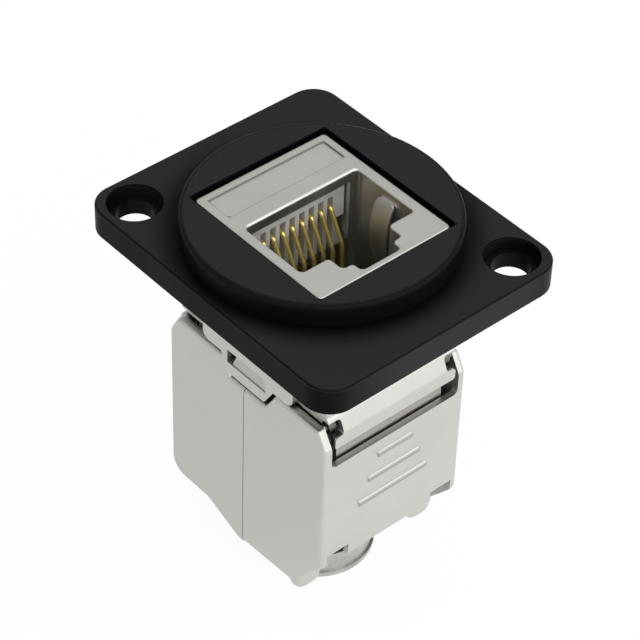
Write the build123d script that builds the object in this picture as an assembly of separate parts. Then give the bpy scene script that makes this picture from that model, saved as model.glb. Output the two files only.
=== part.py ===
from build123d import *
import os

# A shielded network jack snapped into a square panel flange.
# Millimetres. The origin is the centre of the flange's back face. +Z points out
# of the socket, +X along the flange's short side, +Y towards the label side of
# the jack, and -Y is the side of the plug's clip.

# Panel flange
flange_width = 25.0
flange_height = 30.0
flange_thickness = 2.5
flange_corner_radius = 2.4
flange_edge_radius = 0.2
disc_margin = 0.758
disc_rise = 1.95
disc_edge_radius = 0.35
screw_edge_distance = 3.0
screw_hole_radius = 1.6
screw_recess_radius = 2.35
screw_recess_depth = 1.05
rear_ring_margin = 0.35
rear_ring_side_wall = 1.75
rear_ring_depth = 3.6
catch_width = 8.0
catch_reach = 1.15
catch_roof = 0.3
catch_ledge = 1.2
catch_clearance = 0.15

# Nose of the jack, in the opening of the flange
nose_gap = 0.23
nose_corner_radius = 0.45
nose_edge_radius = 0.22
face_recess = 0.28

# Label field on the face, left bare
label_width = 12.2
label_height = 2.7
label_margin = 0.82
label_depth = 0.12
label_corner_radius = 0.4

# Socket for the plug
socket_width = 11.8
socket_height = 6.85
socket_wall = 1.02
socket_head = 5.22
clip_wall = 0.67
socket_corner_radius = 0.4
socket_edge_radius = 0.26
key_width = 6.2
key_depth = 1.65
clip_width = 4.1
clip_depth = 1.05
board_front_z = -9.2

# Body of the jack behind the panel
wing_wall = 0.8
core_gap = 0.08
shoulder_bottom_z = -8.55
latch_side_step = 2.08
label_side_step = 2.33
face_step = 0.06
label_side_drop = 0.3
core_inset = 0.91
hinge_bar_bottom_z = -10.8
hinge_bar_height = 1.3
hinge_wall_slope = 2.0
hinge_wall_bend = 1.0
notch_width = 1.24
notch_height = 1.35
notch_radius = 0.3
bar_end_gap = 0.3
bar_end_radius = 0.4
apron_half_width = 5.75
apron_top_inset = 0.9
apron_bottom_inset = 0.64
apron_height = 2.4
side_plate_half_height = 5.65
side_plate_corner = 0.8
tongue_bottom_z = -10.35
tongue_half_width = 2.2
tongue_root_half_width = 3.3
window_width = 4.85
window_top_z = -7.8
window_height = 1.35
window_depth = 1.15
catch_nub_width = 4.25
catch_nub_rise = 0.12
side_plate_edge = 0.12
skirt_gap = 0.39
skirt_inset = 1.455
skirt_wall = 0.8
skirt_bottom_z = -15.5
skirt_corner_radius = 0.3

# Hinges of the two wings
pivot_inset = 1.4
pivot_z = -9.15
pivot_radius = 0.38
pivot_clearance = 0.05
pivot_depth = 0.5
rib_gap = 0.3
rib_wall = 0.22

# Wings
seam_y = 0.3
seam_gap = 0.06
wing_top_z = -8.75
wing_chamfer_depth = 1.0
wing_chamfer_height = 1.75
wing_tongue_gap = 0.45
tongue_side_gap = 0.28
panel_thickness = 0.56
panel_top_z = -12.6
opening_radius = 0.5
panel_bottom_z = -24.25
latch_wing_bottom_z = -28.5
latch_wing_tip_drop = 0.4
label_wing_bottom_z = -27.4
label_wing_corner_radius = 1.7
label_wing_tip_z = -29.1
edge_radius = 0.42
panel_notch_width = 2.35
panel_notch_height = 1.3
panel_notch_inset = 0.72
foot_width = 2.75
foot_front_y = -7.15
foot_back_y = -5.6
foot_bottom_z = -29.3
foot_edge_radius = 0.7
foot_radius = 0.95
foot_top_z = -27.3
rib_count = 3
rib_pitch = 2.32
rib_top_z = -14.15
rib_first_length = 4.1
rib_length_step = 1.85
rib_radius = 0.35
rib_rise = 0.2

# Contacts and what carries them
contact_count = 8
contact_pitch = 1.016
contact_radius = 0.19
contact_hole_radius = 0.27
contact_head = 0.5
carrier_margin = 1.494
carrier_thickness = 1.9
carrier_front_z = 3.1
carrier_joint_z = -0.5
comb_front_margin = 0.594
comb_flare = 0.05
comb_rear_z = -3.75
comb_joint_gap = 0.12
slot_width = 0.6
slot_front_z = 2.0
slot_end_radius = 0.5
slot_clearance = 0.06
contact_run_depth = 0.6
contact_bend_radius = 0.32
contact_emerge_z = 0.8
contact_knee_z = -1.95
contact_knee_drop = 1.12
contact_tip_z = -6.2
contact_tip_drop = 1.3
contact_row_offset = 0.9
tail_length = 0.35

# Circuit board, contact blades of the cable side and their block
board_end_gap = 0.4
board_thickness = 1.0
board_gap = 0.15
blade_row_pitch = 10.0
blade_column_pitch = 2.6
blade_width = 1.5
blade_thickness = 0.4
blade_tip_z = -14.6
blade_slot_width = 0.36
blade_slot_depth = 2.4
blade_clearance = 0.1
block_base = 2.0

# Wire cap with the cable collar on its tail
cap_side_gap = 0.62
cap_panel_gap = 1.195
cap_front_z = -12.55
cap_shoulder_z = -15.7
cap_box_bottom_z = -22.4
cap_corner_radius = 1.0
cap_neck_width = 9.6
cap_neck_height = 12.4
cap_tail_z = -29.95
cap_tail_step = 0.2
cap_spigot_length = 1.6
cable_hole_radius = 3.6
chamber_depth = 6.0
wire_slot_width = 1.1
wire_slot_depth = 1.7
collar_radius = 5.0
collar_wall = 0.8
collar_rim_radius = 5.18
collar_rim_height = 0.55
collar_bottom_z = -32.55
collar_centre_y = -0.6

# Springs
spring_thickness = 0.2
spring_width = 2.0
spring_centre_y = -1.25
spring_front_z = 3.2
spring_rear_z = -3.6
spring_bulge = 0.75
spring_corner_radius = 0.5
latch_width = 7.0
latch_thickness = 0.5
latch_inset = 0.47
latch_root_z = -7.6
latch_root_radius = 0.5
latch_root_clearance = 0.06
latch_travel = 1.1
latch_hook_reach = 0.75

# Places worked out from the sizes above
face_z = flange_thickness + disc_rise - face_recess
seat_z = -rear_ring_depth
nose_width = socket_width + 2 * socket_wall
nose_height = socket_head + socket_height + key_depth + clip_depth + clip_wall
socket_top_y = nose_height / 2 - socket_head
label_centre_y = nose_height / 2 - label_margin - label_height / 2
opening_width = nose_width + 2 * nose_gap
opening_height = nose_height + 2 * nose_gap
disc_radius = (opening_width**2 + opening_height**2) ** 0.5 / 2 + disc_margin
rear_ring_radius = disc_radius + rear_ring_margin
rear_ring_width = opening_width + 2 * rear_ring_side_wall
screw_pitch_x = flange_width - 2 * screw_edge_distance
screw_pitch_y = flange_height - 2 * screw_edge_distance
body_half = nose_width / 2 + wing_wall
core_half = body_half - wing_wall - core_gap
latch_side_face = nose_height / 2 + latch_side_step
label_side_face = nose_height / 2 + label_side_step
skirt_centre_y = (label_side_face - latch_side_face) / 2
skirt_width = 2 * (core_half - skirt_gap)
skirt_height = label_side_face + latch_side_face - 2 * skirt_inset
board_width = skirt_width - 2 * skirt_wall - 2 * board_gap
board_height = skirt_height - 2 * skirt_wall - 2 * board_end_gap
label_wing_top_z = wing_top_z - label_side_drop
contact_span = (contact_count - 1) * contact_pitch
ceiling_y = socket_top_y + contact_head
contact_run_y = ceiling_y + contact_run_depth
contact_knee_y = socket_top_y - contact_knee_drop
contact_tip_y = socket_top_y - contact_tip_drop
slot_floor_y = contact_run_y + contact_radius + slot_clearance
carrier_width = contact_span + 2 * carrier_margin
comb_front_width = contact_span + 2 * comb_front_margin
comb_rear_width = carrier_width + 2 * comb_flare
cap_centre_y = skirt_centre_y
cap_width = 2 * (body_half - wing_wall - cap_side_gap)
cap_height = label_side_face + latch_side_face - 2 * (panel_thickness + cap_panel_gap)
cap_tail_radius = collar_radius - cap_tail_step
latch_y = nose_height / 2 - latch_inset


def block(x0, x1, y0, y1, z0, z1):
    """A box between two corners."""
    size = (abs(x1 - x0), abs(y1 - y0), abs(z1 - z0))
    return Pos((x0 + x1) / 2, (y0 + y1) / 2, (z0 + z1) / 2) * Box(*size)


def outline(corners):
    """A closed outline from corners, each given as a place and a radius."""
    points = [(a, b) for a, b, radius in corners]
    radii = [radius for a, b, radius in corners]
    return make_face(FilletPolyline(*points, radius=radii, close=True))


def side_prism(corners, x0, x1):
    """A prism along X of an outline drawn in Y and Z."""
    return extrude(Plane.YZ.offset(x0) * outline(corners), amount=x1 - x0)


def front_prism(corners, y0, y1):
    """A prism along Y of an outline drawn in X and Z."""
    return extrude(Plane.XZ.offset(-max(y0, y1)) * outline(corners), amount=abs(y1 - y0))


def upright(sketch, z0, z1):
    """A prism between two heights of a sketch drawn in X and Y."""
    return extrude(Plane.XY.offset(min(z0, z1)) * sketch, amount=abs(z1 - z0))


def rod_x(x0, x1, y, z, radius):
    """A round rod along X."""
    return extrude(Plane.YZ.offset(x0) * Pos(y, z) * Circle(radius), amount=x1 - x0)


def both_sides(piece):
    """A piece and its mirror image in X."""
    return piece + mirror(piece, Plane.YZ)


def screw_places():
    """The two screw holes lie on one diagonal."""
    return [
        (-screw_pitch_x / 2, screw_pitch_y / 2),
        (screw_pitch_x / 2, -screw_pitch_y / 2),
    ]


def contact_places():
    """Middle of each contact along X."""
    first = -(contact_count - 1) / 2 * contact_pitch
    return [first + i * contact_pitch for i in range(contact_count)]


def blade_places():
    """Middle of each blade of the cable side, row by row."""
    columns = contact_count // 2
    first = -(columns - 1) / 2 * blade_column_pitch
    rows = [skirt_centre_y - blade_row_pitch / 2, skirt_centre_y + blade_row_pitch / 2]
    return [(first + i * blade_column_pitch, y) for y in rows for i in range(columns)]


def make_panel_flange():
    """Square plate with a raised disc, screw recesses and a snap-in rear ring."""
    shape = RectangleRounded(flange_width, flange_height, flange_corner_radius)
    plate = upright(shape, 0, flange_thickness)
    plate = fillet(plate.edges().group_by(Axis.Z)[-1], flange_edge_radius)
    top_z = flange_thickness + disc_rise
    disc = upright(Circle(disc_radius), flange_thickness, top_z)
    disc = fillet(disc.edges().group_by(Axis.Z)[-1], disc_edge_radius)
    ring = upright(Circle(rear_ring_radius), -rear_ring_depth, 0)
    ring_half = rear_ring_width / 2
    ring &= block(-ring_half, ring_half, -flange_height, flange_height, -rear_ring_depth, 0)
    body = plate + disc + ring
    opening = RectangleRounded(opening_width, opening_height, nose_corner_radius)
    body -= upright(opening, -rear_ring_depth, top_z)
    recess_z = flange_thickness - screw_recess_depth
    for x, y in screw_places():
        body -= upright(Pos(x, y) * Circle(screw_hole_radius), 0, top_z)
        body -= upright(Pos(x, y) * Circle(screw_recess_radius), recess_z, top_z)
    pocket_y = opening_height / 2 + catch_reach
    body -= block(
        -catch_width / 2, catch_width / 2, -pocket_y, pocket_y, catch_ledge - rear_ring_depth, -catch_roof
    )
    return body


def socket_sketch():
    """Outline of the plug's opening: the plug, its key step and its clip."""
    half = socket_width / 2
    bottom = socket_top_y - socket_height
    key_y = bottom - key_depth
    radius = socket_corner_radius
    clip_y = key_y - clip_depth
    return outline(
        [
            (-half, socket_top_y, radius),
            (half, socket_top_y, radius),
            (half, bottom, radius),
            (key_width / 2, bottom, radius),
            (key_width / 2, key_y, radius),
            (clip_width / 2, key_y, radius),
            (clip_width / 2, clip_y, radius),
            (-clip_width / 2, clip_y, radius),
            (-clip_width / 2, key_y, radius),
            (-key_width / 2, key_y, radius),
            (-key_width / 2, bottom, radius),
            (-half, bottom, radius),
        ]
    )


def hinge_wall(side):
    """Sloped wall over one wing's hinge with its bar and apron, and the notches over the pivots."""
    wing_face = latch_side_face if side < 0 else label_side_face
    face = wing_face - face_step
    bottom = hinge_bar_bottom_z - (0 if side < 0 else label_side_drop)
    bar_top = bottom + hinge_bar_height
    wall_top = bar_top + hinge_wall_slope
    notch_top = bar_top + notch_height
    inner = skirt_height / 2 + side * skirt_centre_y
    back = inner - skirt_wall / 2
    bar_back = face - (face - inner) * 0.45
    notch_x = core_half - notch_width
    bar_end = core_half - bar_end_gap
    wall = side_prism(
        [
            (side * back, wall_top, 0),
            (side * (wing_face - core_inset), wall_top, 0.9),
            (side * face, bar_top, hinge_wall_bend),
            (side * face, bottom, 0.15),
            (side * bar_back, bottom, 0),
            (side * back, bottom + hinge_bar_height / 2, 0),
        ],
        -core_half,
        core_half,
    )
    wall &= front_prism(
        [
            (-core_half, wall_top, 0),
            (core_half, wall_top, 0),
            (core_half, notch_top, 0),
            (notch_x, notch_top, notch_radius),
            (notch_x, bar_top, notch_radius),
            (bar_end, bar_top, bar_end_radius),
            (bar_end, bottom, bar_end_radius),
            (-bar_end, bottom, bar_end_radius),
            (-bar_end, bar_top, bar_end_radius),
            (-notch_x, bar_top, notch_radius),
            (-notch_x, notch_top, notch_radius),
            (-core_half, notch_top, 0),
        ],
        side * back,
        side * (face + 1),
    )
    notch = front_prism(
        [
            (notch_x, notch_top, notch_radius),
            (core_half + 1, notch_top, 0),
            (core_half + 1, bar_top, 0),
            (notch_x, bar_top, notch_radius),
        ],
        side * inner,
        side * (face + 1),
    )
    behind = block(notch_x, core_half + 1, side * inner, side * bar_back, bottom - 1, notch_top)
    apron = side_prism(
        [
            (side * back, bottom + hinge_bar_height / 2, 0),
            (side * (face - apron_top_inset), bottom + hinge_bar_height / 2, 0),
            (side * (face - apron_bottom_inset), bottom - apron_height, 0.15),
            (side * back, bottom - apron_height - 0.5, 0),
        ],
        -apron_half_width,
        apron_half_width,
    )
    return wall - both_sides(behind) + apron, both_sides(notch)


def pivot_place(side):
    """Axis of one wing's hinge, in Y and Z."""
    wing_face = latch_side_face if side < 0 else label_side_face
    drop = 0 if side < 0 else label_side_drop
    return side * (wing_face - pivot_inset), pivot_z - drop


def pivot_rib(side):
    """Ribs that hold the pivots of one wing, and the bores in them."""
    y, z = pivot_place(side)
    inner = skirt_height / 2 + side * skirt_centre_y
    outer_x = core_half - rib_gap
    half = pivot_radius + rib_wall
    rib = rod_x(outer_x - pivot_depth - rib_wall, outer_x, y, z, half)
    root = block(outer_x - pivot_depth - rib_wall, outer_x, side * (inner - skirt_wall), y, z - half, z + half)
    rib += root
    bore = rod_x(outer_x - pivot_depth, core_half + 1, y, z, pivot_radius + pivot_clearance)
    return both_sides(rib), both_sides(bore)


def make_front_housing():
    """Cast housing: nose, shoulder, side plates, hinge walls and rear skirt."""
    nose = upright(RectangleRounded(nose_width, nose_height, nose_corner_radius), seat_z, face_z)
    nose = fillet(nose.edges().group_by(Axis.Z)[-1], nose_edge_radius)
    core = side_prism(
        [
            (-(latch_side_face - core_inset), seat_z, 0.3),
            (label_side_face - core_inset, seat_z, 0.3),
            (label_side_face - core_inset, shoulder_bottom_z, 0.3),
            (-(latch_side_face - core_inset), shoulder_bottom_z, 0.3),
        ],
        -core_half,
        core_half,
    )
    skirt_shape = Pos(0, skirt_centre_y) * RectangleRounded(skirt_width, skirt_height, skirt_corner_radius)
    skirt = upright(skirt_shape, skirt_bottom_z, seat_z)
    housing = nose + core + skirt
    for side in (-1, 1):
        wall, notches = hinge_wall(side)
        housing = housing - notches + wall
        rib, bore = pivot_rib(side)
        housing = housing + rib - bore
    plate = side_prism(
        [
            (-side_plate_half_height, seat_z, 0),
            (side_plate_half_height, seat_z, 0),
            (side_plate_half_height, shoulder_bottom_z, side_plate_corner),
            (tongue_root_half_width, shoulder_bottom_z, 0.25),
            (tongue_half_width, tongue_bottom_z, 0.2),
            (-tongue_half_width, tongue_bottom_z, 0.2),
            (-tongue_root_half_width, shoulder_bottom_z, 0.25),
            (-side_plate_half_height, shoulder_bottom_z, side_plate_corner),
        ],
        core_half,
        body_half,
    )
    plate = fillet(plate.edges().group_by(Axis.X)[-1], side_plate_edge)
    housing += both_sides(plate)
    window_bottom = window_top_z - window_height
    window_floor = body_half - window_depth
    half_y = window_width / 2
    window = block(window_floor, body_half + 1, -half_y, half_y, window_bottom, window_top_z)
    nub = front_prism(
        [
            (window_floor, window_top_z, 0),
            (window_floor + catch_nub_rise, window_top_z, 0),
            (body_half - catch_nub_rise, window_bottom + catch_nub_rise, 0.1),
            (body_half - catch_nub_rise, window_bottom, 0),
            (window_floor, window_bottom, 0),
        ],
        -half_y,
        catch_nub_width - half_y,
    )
    housing = housing - both_sides(window) + both_sides(nub)
    hook_top = -catch_roof - catch_clearance
    hook_bottom = catch_ledge - rear_ring_depth + 0.02
    hook = side_prism(
        [
            (-nose_height / 2 + 0.5, hook_top, 0),
            (-nose_height / 2, hook_top, 0),
            (-nose_height / 2 - catch_reach + catch_clearance, hook_top - 0.6, 0),
            (-nose_height / 2 - catch_reach + catch_clearance, hook_bottom, 0),
            (-nose_height / 2 + 0.5, hook_bottom, 0),
        ],
        -catch_width / 2 + catch_clearance,
        catch_width / 2 - catch_clearance,
    )
    housing += hook
    housing -= cavities()
    rim = housing.edges().filter_by_position(Axis.Z, face_z - 0.001, face_z + 0.001)
    rim_x = nose_width / 2 - socket_wall / 2
    rim_y = nose_height / 2 - clip_wall / 2
    rim = rim.filter_by_position(Axis.X, -rim_x, rim_x).filter_by_position(Axis.Y, -rim_y, rim_y)
    housing = fillet(rim, socket_edge_radius)
    label = Pos(0, label_centre_y) * RectangleRounded(label_width, label_height, label_corner_radius)
    housing -= upright(label, face_z - label_depth, face_z)
    return housing


def cavities():
    """Hollows of the housing: plug, contacts, rear chamber and latch channel."""
    hollow = upright(socket_sketch(), board_front_z, face_z)
    contact_room_top = ceiling_y + carrier_thickness + board_gap
    contact_room = block(
        -carrier_width / 2 - board_gap,
        carrier_width / 2 + board_gap,
        socket_top_y - 0.5,
        contact_room_top,
        board_front_z,
        carrier_front_z,
    )
    half_x = skirt_width / 2 - skirt_wall
    half_y = skirt_height / 2 - skirt_wall
    chamber = block(
        -half_x, half_x, skirt_centre_y - half_y, skirt_centre_y + half_y, skirt_bottom_z, board_front_z
    )
    channel_floor = latch_y - latch_thickness / 2 - latch_travel
    channel = block(
        -latch_width / 2 - catch_clearance,
        latch_width / 2 + catch_clearance,
        channel_floor,
        label_side_face + 1,
        latch_root_z + latch_root_radius,
        -catch_roof,
    )
    root_bore = rod_x(
        -latch_width / 2 - catch_clearance,
        latch_width / 2 + catch_clearance,
        latch_y,
        latch_root_z,
        latch_root_radius + latch_root_clearance,
    )
    neck = block(
        -latch_width / 2 - catch_clearance,
        latch_width / 2 + catch_clearance,
        latch_y - latch_root_radius * 0.9,
        latch_y + latch_root_radius * 0.9,
        latch_root_z,
        latch_root_z + latch_root_radius + 0.1,
    )
    return hollow + contact_room + chamber + channel + root_bore + neck


def make_contact_carrier():
    """Front half of the contact tray, slotted over each contact."""
    half = carrier_width / 2
    top = ceiling_y + carrier_thickness
    tray = block(-half, half, ceiling_y, top, carrier_joint_z, carrier_front_z)
    tray = fillet(tray.edges().filter_by(Axis.X).group_by(Axis.Z)[-1], 0.15)
    slot = [
        (ceiling_y - 1, slot_front_z, 0),
        (slot_floor_y, slot_front_z, slot_end_radius),
        (slot_floor_y, carrier_joint_z - 1, 0),
        (ceiling_y - 1, carrier_joint_z - 1, 0),
    ]
    for x in contact_places():
        tray -= side_prism(slot, x - slot_width / 2, x + slot_width / 2)
    return tray


def make_contact_comb():
    """Rear half of the contact tray: fins that part the contacts."""
    front = carrier_joint_z - comb_joint_gap
    flare_z = front + (comb_rear_z - front) * 0.65
    sides = outline(
        [
            (-comb_front_width / 2, front, 0),
            (comb_front_width / 2, front, 0),
            (comb_rear_width / 2, flare_z, 0.4),
            (comb_rear_width / 2 - comb_flare, comb_rear_z, 0.2),
            (-comb_rear_width / 2 + comb_flare, comb_rear_z, 0.2),
            (-comb_rear_width / 2, flare_z, 0.4),
        ]
    )
    comb = extrude(Plane.XZ.offset(-ceiling_y - carrier_thickness) * sides, amount=carrier_thickness)
    comb = fillet(comb.edges().filter_by(Axis.X).group_by(Axis.Z)[0].group_by(Axis.Y)[0], 0.45)
    for x in contact_places():
        x0 = x - slot_width / 2
        comb -= block(x0, x0 + slot_width, ceiling_y - 1, slot_floor_y, comb_rear_z - 1, front + 1)
    return comb


def contact_path(row):
    """Centre line of a contact in Y and Z, from its tail to its free tip."""
    run_y = contact_run_y + row * contact_row_offset
    loop_z = contact_emerge_z + contact_bend_radius
    tail_z = board_front_z - board_thickness - tail_length
    points = [(run_y, tail_z)]
    radii = []
    if row:
        points += [(run_y, comb_rear_z - 2.2), (contact_run_y, comb_rear_z - 1.0)]
        radii += [0.6, 0.6]
    points += [
        (contact_run_y, loop_z),
        (ceiling_y - 0.1, loop_z - 0.25),
        (contact_knee_y, contact_knee_z),
        (contact_tip_y, contact_tip_z),
    ]
    radii += [contact_bend_radius, contact_bend_radius, 1.2]
    return FilletPolyline(*points, radius=radii)


def make_contact(x, row):
    """One round spring contact, bent from wire."""
    path = Plane.YZ.offset(x) * contact_path(row)
    section = Plane(origin=path @ 0, z_dir=path % 0) * Circle(contact_radius)
    return sweep(section, path=path)


def make_circuit_board():
    """Upright board behind the socket, drilled for contacts and blades."""
    shape = Pos(0, skirt_centre_y) * Rectangle(board_width, board_height)
    board = upright(shape, board_front_z - board_thickness, board_front_z)
    for i, x in enumerate(contact_places()):
        y = contact_run_y + (i % 2) * contact_row_offset
        board -= upright(
            Pos(x, y) * Circle(contact_hole_radius), board_front_z - board_thickness, board_front_z
        )
    for x, y in blade_places():
        slot = Rectangle(blade_width / 2 + blade_clearance, blade_thickness + blade_clearance)
        board -= upright(Pos(x, y) * slot, board_front_z - board_thickness, board_front_z)
    return board


def make_blade(x, y):
    """One forked blade that cuts into a wire."""
    stem_top = board_front_z - 0.1
    head_top = board_front_z - board_thickness - 0.3
    half = blade_width / 2
    sketch = outline(
        [
            (x - half / 2, stem_top, 0),
            (x + half / 2, stem_top, 0),
            (x + half / 2, head_top, 0),
            (x + half, head_top, 0),
            (x + half, blade_tip_z, 0.15),
            (x + blade_slot_width / 2 + 0.15, blade_tip_z, 0),
            (x + blade_slot_width / 2, blade_tip_z + 0.4, 0),
            (x + blade_slot_width / 2, blade_tip_z + blade_slot_depth, 0.12),
            (x - blade_slot_width / 2, blade_tip_z + blade_slot_depth, 0.12),
            (x - blade_slot_width / 2, blade_tip_z + 0.4, 0),
            (x - blade_slot_width / 2 - 0.15, blade_tip_z, 0),
            (x - half, blade_tip_z, 0.15),
            (x - half, head_top, 0),
            (x - half / 2, head_top, 0),
        ]
    )
    return extrude(Plane.XZ.offset(-y - blade_thickness / 2) * sketch, amount=blade_thickness)


def make_blade_block():
    """Moulded block that holds the blades against the board."""
    top = board_front_z - board_thickness - board_gap
    base = Pos(0, skirt_centre_y) * Rectangle(board_width, board_height)
    body = upright(base, top - block_base, top)
    for x, y in blade_places():
        slot = Rectangle(blade_width + 2 * blade_clearance, blade_thickness + 2 * blade_clearance)
        body -= upright(Pos(x, y) * slot, top - block_base, top)
    for i, x in enumerate(contact_places()):
        y = contact_run_y + (i % 2) * contact_row_offset
        body -= upright(Pos(x, y) * Circle(contact_hole_radius + 0.1), top - tail_length, top)
    return body


def make_wire_cap():
    """Cap that presses the wires onto the blades, with a round tail."""
    half_x = skirt_width / 2 - skirt_wall - board_gap
    half_y = skirt_height / 2 - skirt_wall - board_gap
    plug = block(-half_x, half_x, cap_centre_y - half_y, cap_centre_y + half_y, cap_shoulder_z, cap_front_z)
    box_shape = Pos(0, cap_centre_y) * RectangleRounded(cap_width, cap_height, cap_corner_radius)
    box = upright(box_shape, cap_box_bottom_z, cap_shoulder_z)
    box = fillet(box.edges().group_by(Axis.Z)[-1], 0.3)
    box = fillet(box.edges().group_by(Axis.Z)[0], 0.6)
    centre = Pos(0, collar_centre_y)
    neck = centre * RectangleRounded(cap_neck_width, cap_neck_height, 2 * cap_corner_radius)
    round_tail = centre * Circle(cap_tail_radius)
    tail = loft([Plane.XY.offset(cap_box_bottom_z) * neck, Plane.XY.offset(cap_tail_z) * round_tail])
    spigot_radius = collar_radius - collar_wall - 0.05
    spigot_end = cap_tail_z - cap_spigot_length
    cap = plug + box + tail + upright(centre * Circle(spigot_radius), spigot_end, cap_tail_z)
    cap -= upright(centre * Circle(cable_hole_radius), spigot_end, cap_front_z)
    chamber_half_y = blade_row_pitch / 2 - blade_thickness / 2 - 0.8
    cap -= block(
        -half_x + 1.0,
        half_x - 1.0,
        cap_centre_y - chamber_half_y,
        cap_centre_y + chamber_half_y,
        cap_front_z - chamber_depth,
        cap_front_z,
    )
    for x, y in blade_places():
        side = 1 if y > cap_centre_y else -1
        pocket = Rectangle(blade_width + 4 * blade_clearance, blade_thickness + 4 * blade_clearance)
        cap -= upright(Pos(x, y) * pocket, blade_tip_z - 0.3, cap_front_z)
        cap -= block(
            x - wire_slot_width / 2,
            x + wire_slot_width / 2,
            cap_centre_y,
            cap_centre_y + side * (half_y + 1),
            cap_front_z - wire_slot_depth,
            cap_front_z,
        )
    return cap


def make_cable_collar():
    """Round metal collar on the tail of the wire cap."""
    inner = collar_radius - collar_wall
    tube = upright(Circle(collar_radius), collar_bottom_z, cap_tail_z)
    rim = upright(Circle(collar_rim_radius), collar_bottom_z, collar_bottom_z + collar_rim_height)
    collar = tube + rim
    collar = fillet(collar.edges().group_by(Axis.Z)[0], 0.12)
    collar -= upright(Circle(inner), collar_bottom_z, cap_tail_z)
    return Pos(0, collar_centre_y) * collar


def wing_pivots(side):
    """Pivot studs of a wing, on its inner walls."""
    y, z = pivot_place(side)
    tip_x = core_half - rib_gap - pivot_depth + 0.1
    stud = rod_x(tip_x, body_half - wing_wall / 2, y, z, pivot_radius)
    stud = chamfer(stud.edges().group_by(Axis.X)[0], 0.12)
    return both_sides(stud)


def tongue_notch(top_z):
    """Half widths of a wing's notch around the tongue, at its bottom and at its top."""
    slope = (tongue_root_half_width - tongue_half_width) / (shoulder_bottom_z - tongue_bottom_z)
    low = tongue_half_width + tongue_side_gap - slope * wing_tongue_gap
    high = tongue_root_half_width + tongue_side_gap - slope * (shoulder_bottom_z - top_z)
    return low, high


def panel_opening(side, panel_top):
    """Opening of a wing above its panel, with round lower corners."""
    inner = body_half - wing_wall
    face = latch_side_face if side < 0 else label_side_face
    return front_prism(
        [
            (-inner, panel_top, opening_radius),
            (inner, panel_top, opening_radius),
            (inner, wing_top_z + 1, 0),
            (-inner, wing_top_z + 1, 0),
        ],
        side * (face + 1),
        side * (face - panel_thickness - 0.5),
    )


def make_latch_side_wing():
    """Cast wing on the clip side: side walls, ribbed panel, feet and pivots."""
    face = -latch_side_face
    tongue_z = tongue_bottom_z - wing_tongue_gap
    notch_low, notch_high = tongue_notch(wing_top_z)
    seam = seam_y - seam_gap / 2
    wall_outline = [
        (seam, tongue_z, 0),
        (-notch_low, tongue_z, 0.1),
        (-notch_high, wing_top_z, 0.3),
        (face + wing_chamfer_depth, wing_top_z, 0.4),
        (face, wing_top_z - wing_chamfer_height, 0.8),
        (face, panel_bottom_z + 0.15, 0.8),
        (foot_front_y, foot_top_z, 0.4),
        (foot_front_y, latch_wing_bottom_z, 0.5),
        (seam, latch_wing_bottom_z - latch_wing_tip_drop, 0),
    ]
    shell = side_prism(wall_outline, -body_half, body_half)
    long_edges = shell.edges().filter_by(GeomType.LINE).filter_by(Axis.Z).group_by(Axis.Y)[0]
    shell = fillet(long_edges, edge_radius)
    inner = body_half - wing_wall
    shell -= block(-inner, inner, face + panel_thickness, seam + 1, wing_top_z + 1, foot_bottom_z - 1)
    shell -= panel_opening(-1, panel_top_z)
    shell -= block(-inner, inner, face - 1, seam + 1, foot_bottom_z - 1, panel_bottom_z)
    notch_outer = body_half - panel_notch_inset
    notch_inner = notch_outer - panel_notch_width
    notch_top = panel_bottom_z + panel_notch_height
    notch = block(notch_inner, notch_outer, face - 1, face + 1, panel_bottom_z - 1, notch_top)
    shell -= both_sides(notch)
    shell += both_sides(wing_foot())
    for i in range(rib_count):
        shell += grip_rib(i)
    return shell + wing_pivots(-1)


def wing_foot():
    """Rounded thumb lug at the tail of the latch-side wing."""
    foot = block(
        body_half - foot_width, body_half, foot_front_y, foot_back_y, foot_bottom_z, foot_top_z + foot_radius
    )
    foot = fillet(foot.edges().filter_by(Axis.Y).group_by(Axis.Z)[0], foot_radius)
    lower = foot.edges().filter_by_position(Axis.Z, foot_bottom_z - 1, foot_top_z)
    lower = lower.group_by(Axis.Y)[0] + lower.group_by(Axis.Y)[-1]
    return fillet(lower, foot_edge_radius)


def grip_rib(index):
    """One raised rib on the ribbed panel."""
    length = rib_first_length + index * rib_length_step
    z = rib_top_z - index * rib_pitch
    centre_y = -latch_side_face + rib_radius - rib_rise
    rod = rod_x(-length / 2, length / 2, centre_y, z, rib_radius)
    rod = chamfer(rod.edges(), rib_rise * 0.9)
    return rod & block(-length, length, -latch_side_face - 1, -latch_side_face + 0.1, z - 1, z + 1)


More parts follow.
